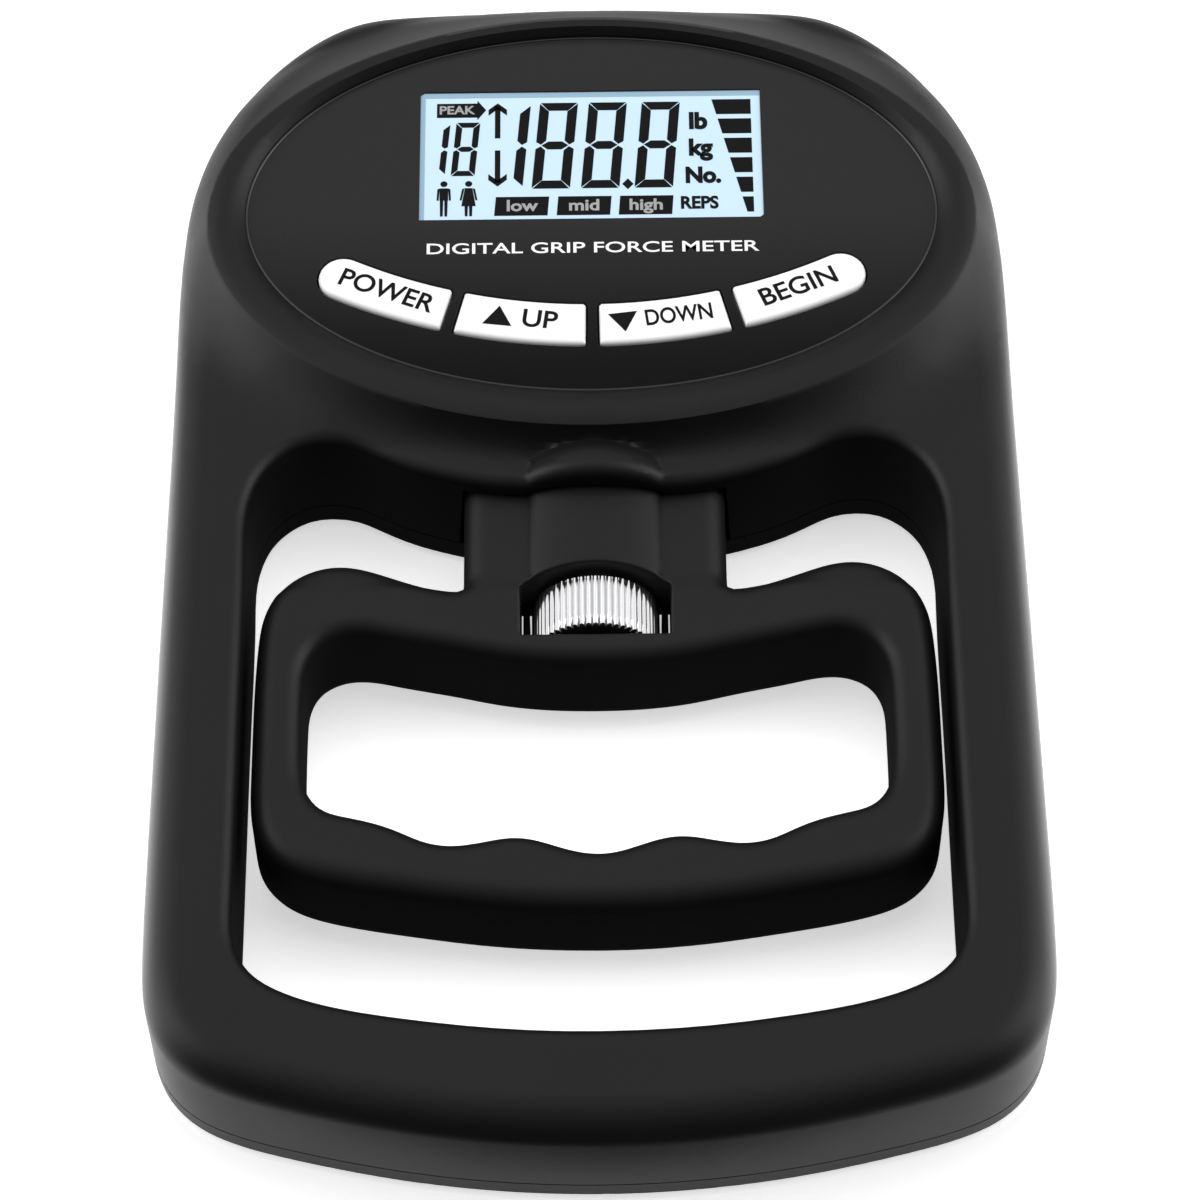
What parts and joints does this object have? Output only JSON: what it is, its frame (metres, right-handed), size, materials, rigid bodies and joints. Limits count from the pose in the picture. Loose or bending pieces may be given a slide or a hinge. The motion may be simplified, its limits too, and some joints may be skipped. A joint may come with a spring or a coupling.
{
  "type": "hand dynamometer",
  "caption": "Electronic hand dynamometer: flat casing with display and keys, palm bar, and an inner grip moved by a knurled nut on a rod.",
  "frame": {"origin": "middle of the bounding box at the back face, where the casing lies on a table", "axes": "+X to the right seen from the front, +Y along the length from palm bar to display, +Z out of the front face"},
  "size_m": [0.1272, 0.195, 0.0285],
  "materials": {
    "casing_black": "fine spark-eroded matte",
    "grip_black": "fine spark-eroded matte, soft touch",
    "panel_black": "satin gloss print",
    "key_white": "gloss",
    "nut_chrome": "knurled bright chrome",
    "steel": "zinc plated",
    "cell_aluminium": "machined",
    "display_glass": "polarised display glass",
    "light_guide": "translucent",
    "frame_white": "moulded",
    "board_green": "solder mask",
    "chip_black": "moulded",
    "switch_black": "moulded",
    "rubber_grey": "matt",
    "wire_red": "insulated wire",
    "gauge_foil": "foil on film",
    "battery_wrap": "plain wrap",
    "spring_steel": "nickel plated"
  },
  "bodies": {
    "casing": {"front_casing": "casing_black", "rear_casing": "casing_black", "casing_screws": "steel", "display_panel": "panel_black", "switch_housings": "switch_black", "lcd_glass": "display_glass", "lcd_backlight": "light_guide", "lcd_contact_strip": "rubber_grey", "lcd_frame": "frame_white", "main_board": "board_green", "board_screws": "steel", "controller_chip": "chip_black", "board_components": "chip_black", "gauge_leads": "wire_red", "battery_leads": "wire_red", "battery_1": "battery_wrap", "battery_2": "battery_wrap", "battery_springs": "spring_steel", "battery_contacts": "spring_steel", "load_cell": "cell_aluminium", "strain_gauges": "gauge_foil", "load_cell_screws": "steel", "pull_rod": "steel", "rod_washer": "steel", "rod_nut": "steel"},
    "grip": {"grip_front": "grip_black", "grip_rear": "grip_black", "grip_screws": "steel", "knob_washer": "steel"},
    "thumb_nut": {"thumb_knob": "nut_chrome"},
    "door": {"battery_door": "casing_black"},
    "key_on_cap": {"key_on": "key_white", "switch_plunger_1": "switch_black"},
    "key_up_cap": {"key_up": "key_white", "switch_plunger_2": "switch_black"},
    "key_down_cap": {"key_down": "key_white", "switch_plunger_3": "switch_black"},
    "key_start_cap": {"key_start": "key_white", "switch_plunger_4": "switch_black"}
  },
  "joints": [
    {"name": "grip_slide", "type": "slide", "parent": "casing", "child": "grip", "axis": [0, 1, 0], "range_m": [-0.01, 0.006]},
    {"name": "nut_spin", "type": "hinge", "parent": "grip", "child": "thumb_nut", "pos_m": [0, -0.0116, 0.0115], "axis": [0, 1, 0], "range_deg": [-3600, 2160]},
    {"name": "key_on_press", "type": "slide", "parent": "casing", "child": "key_on_cap", "axis": [0, 0, -1], "range_m": [0, 0.0006], "stiffness_N_per_m": 1500},
    {"name": "key_up_press", "type": "slide", "parent": "casing", "child": "key_up_cap", "axis": [0, 0, -1], "range_m": [0, 0.0006], "stiffness_N_per_m": 1500},
    {"name": "key_down_press", "type": "slide", "parent": "casing", "child": "key_down_cap", "axis": [0, 0, -1], "range_m": [0, 0.0006], "stiffness_N_per_m": 1500},
    {"name": "key_start_press", "type": "slide", "parent": "casing", "child": "key_start_cap", "axis": [0, 0, -1], "range_m": [0, 0.0006], "stiffness_N_per_m": 1500},
    {"name": "door_hinge", "type": "hinge", "parent": "casing", "child": "door", "pos_m": [0, 0.0502, 0.0009], "axis": [-1, 0, 0], "range_deg": [0, 75]}
  ],
  "couplings": [
    {"joint": "nut_spin", "follows": "grip_slide", "rad_per_m": 6283.2}
  ]
}
